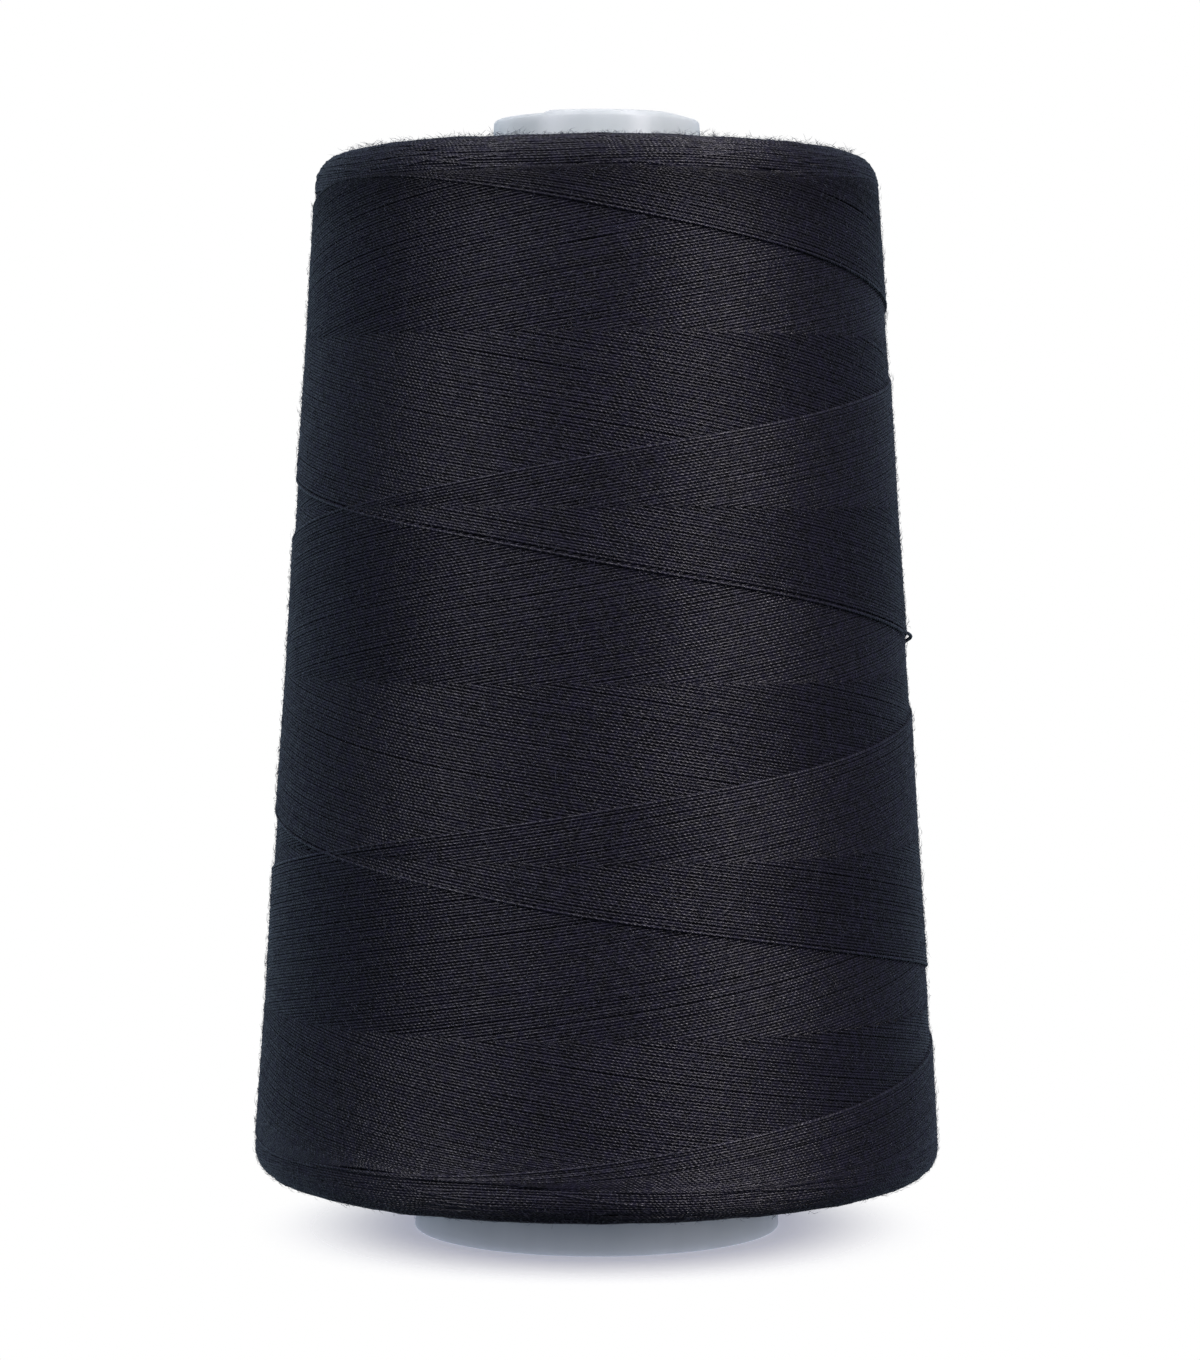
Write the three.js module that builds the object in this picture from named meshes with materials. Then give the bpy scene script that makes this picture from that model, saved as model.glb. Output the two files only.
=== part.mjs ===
// A cone of sewing thread, in millimetres, +Z up, standing on the wide end of its core.
//
// The core is a hollow tapered plastic tube, open at both ends. The thread is wound on it
// crosswise: each turn climbs to one end and falls back to the other, so the strands lie in
// two families of helices with the same lead. Where two turns meet, the later one lies on
// top, which leaves broad low terraces that wind round the package, each with its newest
// strand along the high edge.

import * as THREE from 'three';

// ---- The core ----
const CORE_LENGTH = 145;
const CORE_BASE_RADIUS = 24;
const CORE_NOSE_RADIUS = 13.4;
const CORE_WALL = 1.3;
const CORE_NOSE_ROUNDING = 0.45;
const CORE_FACETS = 64;

// ---- The wound thread ----
const WINDING_LOW_Z = 11;            // where the straight side begins, above the low shoulder
const WINDING_LOW_RADIUS = 44.9;
const WINDING_HIGH_Z = 136.4;        // where it ends, below the high shoulder
const WINDING_HIGH_RADIUS = 36.7;
const LOW_SHOULDER_ROUNDING = 3.6;
const HIGH_SHOULDER_ROUNDING = 3.7;
const SEAT_GAP = 0.3;                // between the first turns and the core

// ---- The lay of the turns ----
const LEAD = 43.2;                   // height that a strand climbs in one turn
const FALLING_STRAND_Z = 88.4;       // newest strand that falls to the right, at the front
const RISING_STRAND_Z = 57.2;        // newest strand that rises to the right, at the front
const TERRACE_HEIGHT = 0.55;         // from the oldest turn in sight to the newest
const NEWEST_STRAND_RISE = 0.2;      // how proud the newest strand itself stands of its terrace
const MEAN_AGE = 1 / 3;              // mean age of the turns in sight, where a turn dies at 1

// The side is a net of facets whose diagonals follow both families of strands, so each
// newest strand runs along facet edges: one column turns as far as one row climbs.
const WINDING_COLUMNS = 36;
const ROW_HEIGHT = LEAD / WINDING_COLUMNS;
const SHOULDER_STEPS = 4;

const THREAD_COLOUR = 0x24252b;
const PLASTIC_COLOUR = 0xa9adb6;

/** Outer radius of the bare core at a height. */
function coreRadius(z) {
  return CORE_BASE_RADIUS + (CORE_NOSE_RADIUS - CORE_BASE_RADIUS) * z / CORE_LENGTH;
}

/** Mean radius of the wound side at a height. */
function sideRadius(z) {
  const share = (z - WINDING_LOW_Z) / (WINDING_HIGH_Z - WINDING_LOW_Z);
  return WINDING_LOW_RADIUS + (WINDING_HIGH_RADIUS - WINDING_LOW_RADIUS) * share;
}

/** Points of a round corner in the radius and height plane, both ends included. */
function corner(centreRadius, centreZ, rounding, fromDegrees, toDegrees, steps) {
  const points = [];
  for (let step = 0; step <= steps; step += 1) {
    const angle = THREE.MathUtils.degToRad(fromDegrees + (toDegrees - fromDegrees) * step / steps);
    points.push(new THREE.Vector2(
      centreRadius + rounding * Math.cos(angle),
      centreZ + rounding * Math.sin(angle),
    ));
  }
  return points;
}

/** A closed section turned about Z; its lathe angle starts at the front and grows to the right. */
function turned(section, facets) {
  const geometry = new THREE.LatheGeometry([...section, section[0].clone()], facets);
  return geometry.rotateX(Math.PI / 2);
}

/** The part of a whole turn that is left after whole turns are taken off. */
function turnShare(turns) {
  return turns - Math.floor(turns);
}

/**
 * Age of the turn in sight at a place on the side, from 0 at the newest strand to 1.
 * Turns that fall to the right have their newest strand along one helix, and turns that
 * rise to the right along another; the younger of the two families lies on top.
 */
function visibleAge(angle, z) {
  const turn = angle / (2 * Math.PI);
  const falling = turnShare(turn + (z - FALLING_STRAND_Z) / LEAD);
  const rising = turnShare(turn - (z - RISING_STRAND_Z) / LEAD);
  return Math.min(falling, rising);
}

/** How far the side stands out of its mean surface, for the age of the turn in sight. */
function terraceRise(age) {
  const newest = age < 1 / WINDING_COLUMNS ? NEWEST_STRAND_RISE : 0;
  return TERRACE_HEIGHT * (MEAN_AGE - age) + newest;
}

/** The tapered tube, with both edges of its nose rounded over. */
function coreGeometry() {
  const round = CORE_NOSE_ROUNDING;
  const noseZ = CORE_LENGTH - round;
  const noseOuter = coreRadius(noseZ);
  const section = [
    new THREE.Vector2(CORE_BASE_RADIUS, 0),
    ...corner(noseOuter - round, noseZ, round, 0, 90, 3),
    ...corner(noseOuter - CORE_WALL + round, noseZ, round, 90, 180, 3),
    new THREE.Vector2(CORE_BASE_RADIUS - CORE_WALL, 0),
  ];
  return turned(section, CORE_FACETS);
}

/** The rows of the winding's section, with how much of the terraces each row carries. */
function windingRows() {
  const rows = [];
  const add = (point, terrace) => rows.push({ point, terrace });

  const low = corner(WINDING_LOW_RADIUS - LOW_SHOULDER_ROUNDING, WINDING_LOW_Z,
    LOW_SHOULDER_ROUNDING, -90, 0, SHOULDER_STEPS);
  const high = corner(WINDING_HIGH_RADIUS - HIGH_SHOULDER_ROUNDING, WINDING_HIGH_Z,
    HIGH_SHOULDER_ROUNDING, 0, 90, SHOULDER_STEPS);

  // Both ends lie square to the core's slant, so they slope with its taper.
  const taper = (CORE_BASE_RADIUS - CORE_NOSE_RADIUS) / CORE_LENGTH;
  const seat = (shoulder) => {
    const z = shoulder.y - taper * (shoulder.x - coreRadius(shoulder.y) - SEAT_GAP);
    return new THREE.Vector2(coreRadius(z) + SEAT_GAP, z);
  };

  add(seat(low[0]), 0);
  low.slice(0, -1).forEach((point, step) => add(point, step / SHOULDER_STEPS));
  const first = Math.ceil((WINDING_LOW_Z - FALLING_STRAND_Z) / ROW_HEIGHT - 0.5);
  const last = Math.floor((WINDING_HIGH_Z - FALLING_STRAND_Z) / ROW_HEIGHT - 0.5);
  for (let row = first; row <= last; row += 1) {
    const z = FALLING_STRAND_Z + (row + 0.5) * ROW_HEIGHT;
    add(new THREE.Vector2(sideRadius(z), z), 1);
  }
  high.slice(1).forEach((point, step) => add(point, 1 - (step + 1) / SHOULDER_STEPS));
  add(seat(high[SHOULDER_STEPS]), 0);
  return rows;
}

/** Splits each facet of a turned net along the diagonal whose ends are nearer in radius. */
function followTerraces(geometry, columns, rows) {
  const position = geometry.getAttribute('position');
  const radius = (corner) => Math.hypot(position.getX(corner), position.getY(corner));
  const index = [];
  for (let column = 0; column < columns; column += 1) {
    for (let row = 0; row < rows - 1; row += 1) {
      const a = column * rows + row;
      const b = a + rows;
      const c = b + 1;
      const d = a + 1;
      const falls = Math.abs(radius(b) - radius(d));
      const rises = Math.abs(radius(a) - radius(c));
      if (falls <= rises) {
        index.push(a, b, d, c, d, b);
      } else {
        index.push(a, b, c, a, c, d);
      }
    }
  }
  geometry.setIndex(index);
}

/** The whole package of thread as one solid, with the terraces of its last turns raised. */
function windingGeometry() {
  const rows = windingRows();
  const geometry = turned(rows.map((row) => row.point), WINDING_COLUMNS);
  const position = geometry.getAttribute('position');
  const rowCount = rows.length + 1;
  for (let column = 0; column <= WINDING_COLUMNS; column += 1) {
    const angle = (column % WINDING_COLUMNS) * 2 * Math.PI / WINDING_COLUMNS;
    rows.forEach(({ point, terrace }, row) => {
      const radius = point.x + terrace * terraceRise(visibleAge(angle, point.y));
      position.setXY(column * rowCount + row, radius * Math.sin(angle), -radius * Math.cos(angle));
    });
  }
  followTerraces(geometry, WINDING_COLUMNS, rowCount);
  geometry.computeVertexNormals();
  return geometry;
}

/** A named piece with its own finish. */
function piece(name, geometry, finish) {
  const mesh = new THREE.Mesh(geometry, new THREE.MeshStandardMaterial(finish));
  mesh.name = name;
  return mesh;
}

const cone = new THREE.Group();
cone.name = 'cone_of_thread';
cone.add(piece('cone_core', coreGeometry(), {
  color: PLASTIC_COLOUR, roughness: 0.35, metalness: 0,
}));
cone.add(piece('thread_winding', windingGeometry(), {
  color: THREAD_COLOUR, roughness: 0.85, metalness: 0,
}));

export default cone;
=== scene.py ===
"""A cone of black sewing thread: a tapered plastic core and the package crosswound on it.

Sizes are in millimetres in the classes below and become metres where a mesh is made. Angles
round the package start at the front, which faces -Y, and grow to the right, towards +X.
"""

import logging
import math
from collections.abc import Callable
from dataclasses import dataclass, field
from enum import Enum
from functools import partial

import bmesh
import bpy
import numpy as np
from bpy.types import ID, Material, Mesh, Node, NodeSocket, NodeTree, Object
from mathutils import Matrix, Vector

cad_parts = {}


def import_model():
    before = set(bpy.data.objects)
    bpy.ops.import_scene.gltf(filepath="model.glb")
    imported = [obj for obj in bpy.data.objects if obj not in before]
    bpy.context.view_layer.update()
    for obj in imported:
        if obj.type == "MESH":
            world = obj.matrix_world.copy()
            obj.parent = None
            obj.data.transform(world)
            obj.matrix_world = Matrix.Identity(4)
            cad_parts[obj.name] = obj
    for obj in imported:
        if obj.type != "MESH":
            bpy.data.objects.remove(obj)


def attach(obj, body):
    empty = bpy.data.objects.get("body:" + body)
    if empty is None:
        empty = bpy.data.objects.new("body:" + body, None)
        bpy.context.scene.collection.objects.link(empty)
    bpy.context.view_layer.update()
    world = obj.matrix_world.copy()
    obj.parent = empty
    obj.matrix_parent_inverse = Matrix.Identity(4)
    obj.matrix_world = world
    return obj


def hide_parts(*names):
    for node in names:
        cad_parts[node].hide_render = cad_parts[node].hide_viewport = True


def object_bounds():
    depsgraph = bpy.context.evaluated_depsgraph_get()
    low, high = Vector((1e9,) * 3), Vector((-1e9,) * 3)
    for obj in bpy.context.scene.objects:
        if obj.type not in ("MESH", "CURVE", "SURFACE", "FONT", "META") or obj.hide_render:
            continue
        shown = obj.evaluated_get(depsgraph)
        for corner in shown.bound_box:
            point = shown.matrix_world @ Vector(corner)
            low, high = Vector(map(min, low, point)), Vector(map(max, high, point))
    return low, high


LOG = logging.getLogger("cone_of_thread")
MM = 0.001
TURN = 2 * math.pi
BODY = "root"
SEED = 4200
Array = np.ndarray
Adder = Callable[..., Node]
Pair = tuple[float, float]
Triple = tuple[float, float, float]
Colour = tuple[float, float, float, float]
Waves = tuple[Triple, ...]  # for each, how many go in a turn comes first and its size last


class Family(Enum):
    """The two ways in which a strand runs as it goes round the package to the right."""

    FALLING = "falling"
    RISING = "rising"

    @property
    def fall(self) -> float:
        """1 where strands fall, so that older ones lie higher, and -1 where they rise."""
        return 1.0 if self is Family.FALLING else -1.0


class End(Enum):
    """The two ends of the package, named by where they are as it stands."""

    LOW = "low"
    HIGH = "high"


def linear(hex_colour: str) -> Colour:
    """Turns an sRGB colour into linear light.

    Args:
        hex_colour: Six hex digits, such as "1c1d22".

    Returns:
        Red, green, blue and an alpha of 1.
    """
    channels = [int(hex_colour[place:place + 2], 16) / 255 for place in (0, 2, 4)]
    light = [c / 12.92 if c <= 0.04045 else ((c + 0.055) / 1.055) ** 2.4 for c in channels]
    return (*light, 1.0)


def unit(rows: Array) -> Array:
    """Scales each row to a length of one."""
    return rows / np.linalg.norm(rows, axis=1, keepdims=True)


def wavy(waves: Waves, angle: Array, row: int = 1) -> Array:
    """Adds up waves round the package. Each runs ahead by its middle number for each row."""
    return sum(size * np.sin(many * angle + ahead * row) for many, ahead, size in waves)


def hump(turn: Array, middle: float, reach: float) -> Array:
    """Gives 1 in the middle and less and less towards 0 at the reach on both sides."""
    return np.clip(1 - ((turn - middle) / reach) ** 2, 0, None)


def node(tree: NodeTree, kind: str, *firsts: object, **others: object) -> Node:
    """Adds a node with its settings and its links.

    Args:
        tree: The node tree that gets it.
        kind: The node's Blender type name, less the "ShaderNode" it starts with.
        *firsts: What its first inputs get: a value, an output, or a node for its first output.
        **others: What other inputs get, by name with underscores for spaces, or as In_6 by
            place. What starts with a small letter is a setting of the node itself.

    Returns:
        The new node.
    """
    made = tree.nodes.new("ShaderNode" + kind)
    given = list(zip(made.inputs, firsts))
    for name, value in others.items():
        if name[0].islower():
            setattr(made, name, value)
        elif name.startswith("In_"):
            given.append((made.inputs[int(name[3:])], value))
        else:
            given.append((made.inputs[name.replace("_", " ")], value))
    for socket, value in given:
        if isinstance(value, Node):
            value = value.outputs[0]
        if isinstance(value, NodeSocket):
            tree.links.new(value, socket)
        else:
            socket.default_value = value
    return made


def new_material(name: str) -> tuple[Material, Adder]:
    """Makes a material with an empty node tree.

    Args:
        name: The material's name.

    Returns:
        The material, and node() for its tree.
    """
    material = bpy.data.materials.new(name)
    material.use_nodes = True
    material.node_tree.nodes.clear()
    return material, partial(node, material.node_tree)


def placed(data: ID) -> Object:
    """Puts an object in the scene.

    Args:
        data: Its mesh, lamp or camera, whose name it takes.

    Returns:
        The object, at the origin.
    """
    obj = bpy.data.objects.new(data.name, data)
    bpy.context.scene.collection.objects.link(obj)
    return obj


def shown(mesh: Mesh, material: Material) -> Object:
    """Puts a finished mesh in the scene with its material."""
    mesh.materials.append(material)
    return placed(mesh)


def smooth_mesh(name: str, form: bmesh.types.BMesh) -> Mesh:
    """Turns a finished form into a smoothly shaded mesh and frees the form.

    Args:
        name: The mesh's name.
        form: The form, in metres.

    Returns:
        The mesh.
    """
    mesh = bpy.data.meshes.new(name)
    form.to_mesh(mesh)
    form.free()
    mesh.shade_smooth()
    return mesh


def joined_mesh(name: str, points: Array, corners: Array, sizes: Array) -> Mesh:
    """Makes one mesh of many small things from arrays.

    Args:
        name: The mesh's name.
        points: One row for each point, in millimetres.
        corners: The points at the corners of one face after another.
        sizes: How many corners each face has.

    Returns:
        The mesh, in metres.
    """
    mesh = bpy.data.meshes.new(name)
    mesh.vertices.add(len(points))
    mesh.vertices.foreach_set("co", (points * MM).ravel())
    mesh.loops.add(len(corners))
    mesh.loops.foreach_set("vertex_index", corners.astype(np.int32))
    mesh.polygons.add(len(sizes))
    starts = np.concatenate([[0], np.cumsum(sizes)[:-1]])
    mesh.polygons.foreach_set("loop_start", starts.astype(np.int32))
    mesh.update(calc_edges=True)
    return mesh


# ---- The form of the package ----


@dataclass(frozen=True)
class CoreForm:
    """The tapered tube that the thread is wound on."""

    length: float = 145.0
    base_radius: float = 24.0
    nose_radius: float = 13.4
    wall: float = 1.3

    @property
    def taper(self) -> float:
        """How much the radius shrinks for each millimetre of height."""
        return (self.base_radius - self.nose_radius) / self.length

    def radius(self, z: float) -> float:
        """Gives the outer radius at a height."""
        return self.base_radius - self.taper * z


@dataclass(frozen=True)
class Shoulder:
    """One end of the package's side, where the thread rounds over to the end face."""

    z: float
    radius: float
    rounding: float
    up: float  # 1 at the high end, -1 at the low end

    @property
    def length(self) -> float:
        """The length round the shoulder."""
        return self.rounding * math.pi / 2


@dataclass(frozen=True)
class PackageForm:
    """The outer form of the wound thread: a straight tapered side between two shoulders.

    A place on it is given by its climb. On the side the climb is the height. Past either end
    of the side it goes on in millimetres round the shoulder and in along the end face.
    """

    core: CoreForm
    low: Shoulder = Shoulder(11.0, 44.9, 3.6, -1.0)
    high: Shoulder = Shoulder(136.4, 36.7, 3.7, 1.0)
    seat_gap: float = 0.3

    @property
    def lean(self) -> float:
        """The side's taper, as radius lost for each millimetre of height."""
        return (self.low.radius - self.high.radius) / (self.high.z - self.low.z)

    @property
    def middle(self) -> float:
        """The height halfway up the side."""
        return (self.low.z + self.high.z) / 2

    def side_radius(self, z: Array) -> Array:
        """Gives the radius of the side at each height."""
        return self.low.radius - self.lean * (z - self.low.z)

    def shoulder(self, end: End) -> Shoulder:
        """Gives the shoulder at one end."""
        return self.low if end is End.LOW else self.high

    def face_width(self, part: Shoulder) -> float:
        """Gives how far the end face reaches from a shoulder to the core."""
        return part.radius - part.rounding - self.core.radius(part.z) - self.seat_gap

    def place(self, climb: Array, lift: Array) -> tuple[Array, Array]:
        """Finds the radius and the height of places on the form or off it.

        Args:
            climb: Where each place is along the form.
            lift: How far it stands off the form, outwards.

        Returns:
            The radii and the heights.
        """
        side_z = np.clip(climb, self.low.z, self.high.z)
        radius = self.side_radius(side_z) + lift
        z = side_z.copy()
        for part in (self.high, self.low):
            over = part.up * (climb - part.z)
            bend = np.clip(over / part.rounding, 0.0, math.pi / 2)
            inward = np.clip(over - part.length, 0.0, None)
            reach = part.rounding + lift
            edge = part.radius - part.rounding
            radius = np.where(over > 0, edge + reach * np.cos(bend) - inward, radius)
            fall = self.core.taper * inward
            z = np.where(over > 0, part.z + part.up * reach * np.sin(bend) - fall, z)
        return radius, z

    def points(self, angle: Array, climb: Array, lift: Array) -> Array:
        """Finds points in space.

        Args:
            angle: Angles round the package, in radians.
            climb: Where each point is along the form.
            lift: How far it stands off the form.

        Returns:
            One row of x, y and z for each point, in millimetres.
        """
        radius, z = self.place(climb, lift)
        return np.stack([radius * np.sin(angle), -radius * np.cos(angle), z], axis=1)


@dataclass(frozen=True)
class Lay:
    """How the turns lie. Each family's strands share one lead and age away from the newest.

    The age of a strand goes from 0 for the newest to 1 for the one it is about to cover.
    Where two families cross, the younger strand lies on top, so a falling strand shows from
    a crossing level down, and a rising strand from a crossing level up.
    """

    lead: float = 43.2
    falling_z: float = 88.15  # height of the newest falling strand at the front
    rising_z: float = 57.45  # height of the newest rising strand there
    strands: int = 115  # in each lead
    terrace: float = 0.36  # step from the oldest strand up to the newest
    mean_age: float = 1 / 3  # of the strands in sight
    outer_levels: int = 3  # crossing levels above the middle one, and as many below

    @property
    def band(self) -> float:
        """Height from one crossing level to the next."""
        return self.lead / 2

    def levels(self) -> list[float]:
        """Gives the crossing levels.

        Returns:
            Their heights, from the low turn-back to the high one.
        """
        middle = (self.falling_z + self.rising_z) / 2
        steps = range(-self.outer_levels, self.outer_levels + 1)
        return [middle + step * self.band for step in steps]

    def turn(self, family: Family, age: float, z: Array) -> Array:
        """Gives where a strand passes some heights.

        Args:
            family: The strand's family.
            age: Its age.
            z: The heights.

        Returns:
            The angle at each, in turns.
        """
        start = self.falling_z if family is Family.FALLING else self.rising_z
        return age + family.fall * (start - z) / self.lead

    def visible_age(self, turn: Array, z: Array) -> Array:
        """Gives the age of the strand on top at places on the side, by their turns and heights."""
        return np.minimum(*[(turn - self.turn(family, 0.0, z)) % 1 for family in Family])

    def rise(self, age: Array) -> Array:
        """Gives how far a strand of an age stands off the mean side."""
        return self.terrace * (self.mean_age - age)


@dataclass(frozen=True)
class TurnBack:
    """How a strand rounds its turn back at each end, as the guide slows and returns."""

    low_round: float = 4.3
    high_round: float = 1.75
    low_sway: float = 0.9  # how much the rounding grows and shrinks from strand to strand
    high_sway: float = 0.35
    quick_share: float = 0.6  # how strong the quicker of its two waves is
    rising_lead: float = 0.37  # how far, in turns, the rising family's waves run ahead
    sharpness: float = 3.0

    def rounds(self, family: Family, age: float) -> Pair:
        """Gives a strand's rounding at the low and the high end.

        Args:
            family: The strand's family.
            age: Its age. Neighbours round alike, so that they lie side by side.

        Returns:
            Both roundings, in millimetres.
        """
        start = 0.0 if family is Family.FALLING else self.rising_lead
        sway = math.sin(TURN * (2 * age + start))
        sway += self.quick_share * math.sin(TURN * (5 * age + 2 * start))
        most = 1 + self.quick_share
        return self.low_round + self.low_sway * sway / most, self.high_round + self.high_sway * sway / most

    def climb(self, z: Array, levels: list[float], low: float, high: float) -> Array:
        """Rounds a path's heights near both ends.

        Args:
            z: Heights on the unrounded path.
            levels: The crossing levels; the first and the last are the ends of the path.
            low: Rounding at the low end.
            high: Rounding at the high end.

        Returns:
            The climb along the form.
        """
        power = self.sharpness
        down = np.abs(levels[-1] - z) ** power + high ** power
        up = np.abs(z - levels[0]) ** power + low ** power
        rounded_high = levels[-1] - down ** (1 / power)
        rounded_low = levels[0] + up ** (1 / power)
        return np.where(z > (levels[0] + levels[-1]) / 2, rounded_high, rounded_low)


# ---- Lengths of thread as meshes ----


@dataclass
class StrandBatch:
    """Gathers many short lengths of thread and joins them into one mesh of closed tubes.

    Each tube has a UV map that holds its length in millimetres and the way round it. Two
    attributes hold how light the length is and its painted light and shade, for the finish to read.
    """

    name: str
    sides: int = 5
    flat: float = 0.68  # the thread is pressed flat, this much as high as it is wide
    count: int = 0  # points so far
    lengths: list[tuple[Array, ...]] = field(default_factory=list)

    def add(self, path: Array, outward: Array, radius: float, start: float,
            shade: float, painted_light: Array) -> None:
        """Adds one length.

        Args:
            path: Its centre line, one row for each point, in millimetres.
            outward: A direction across the path at each point.
            radius: The thread's radius.
            start: Where its length starts on the UV map, in millimetres.
            shade: How light it is, from 0 to 1.
            painted_light: Painted light and shade at each point, a factor on colour and gloss.
        """
        along = unit(np.gradient(path, axis=0))
        up = unit(outward - along * np.sum(outward * along, axis=1, keepdims=True))
        across = np.cross(along, up)
        rings, sides = len(path), self.sides
        way = np.arange(sides) * TURN / sides
        ring = (self.flat * np.cos(way)[None, :, None] * up[:, None, :]
                + np.sin(way)[None, :, None] * across[:, None, :])
        points = path[:, None, :] + ring * radius

        row, column = np.meshgrid(np.arange(rings - 1), np.arange(sides), indexing="ij")
        ahead = (column + 1) % sides
        quads = np.stack([row * sides + column, row * sides + ahead,
                          (row + 1) * sides + ahead, (row + 1) * sides + column], axis=-1)
        steps = np.linalg.norm(np.diff(path, axis=0), axis=1)
        length = start + np.concatenate([[0.0], np.cumsum(steps)])
        u = np.stack([length[row], length[row], length[row + 1], length[row + 1]], axis=-1)
        v = np.stack([column, column + 1, column + 1, column], axis=-1) / sides

        first = np.arange(sides)
        caps = np.stack([first[::-1], (rings - 1) * sides + first])
        ends = np.repeat([length[0], length[-1]], sides)
        self.lengths.append((
            points.reshape(-1, 3), quads.reshape(-1, 4) + self.count, caps + self.count,
            np.stack([u, v], axis=-1).reshape(-1, 2), np.stack([ends, np.full(2 * sides, 0.5)], axis=-1),
            np.full(rings * sides, shade), np.repeat(painted_light, sides)))
        self.count += rings * sides

    def mesh(self) -> Mesh:
        """Joins what was added.

        Returns:
            The mesh, in metres.
        """
        columns = [np.concatenate(column) for column in zip(*self.lengths)]
        points, quads, caps, quad_uv, cap_uv, shade, painted_light = columns
        sizes = np.repeat([4, self.sides], [len(quads), len(caps)])
        mesh = joined_mesh(self.name, points, np.concatenate([quads.ravel(), caps.ravel()]), sizes)
        uv = mesh.uv_layers.new(name="Thread")
        uv.data.foreach_set("uv", np.concatenate([quad_uv, cap_uv]).ravel())
        for name, values in (("shade", shade), ("painted_light", painted_light)):
            mesh.attributes.new(name, "FLOAT", "POINT").data.foreach_set("value", values)
        flat = mesh.attributes.new("sharp_face", "BOOLEAN", "FACE")
        flat.data.foreach_set("value", sizes != 4)
        mesh.validate()
        return mesh


# ---- Finishes ----


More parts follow.
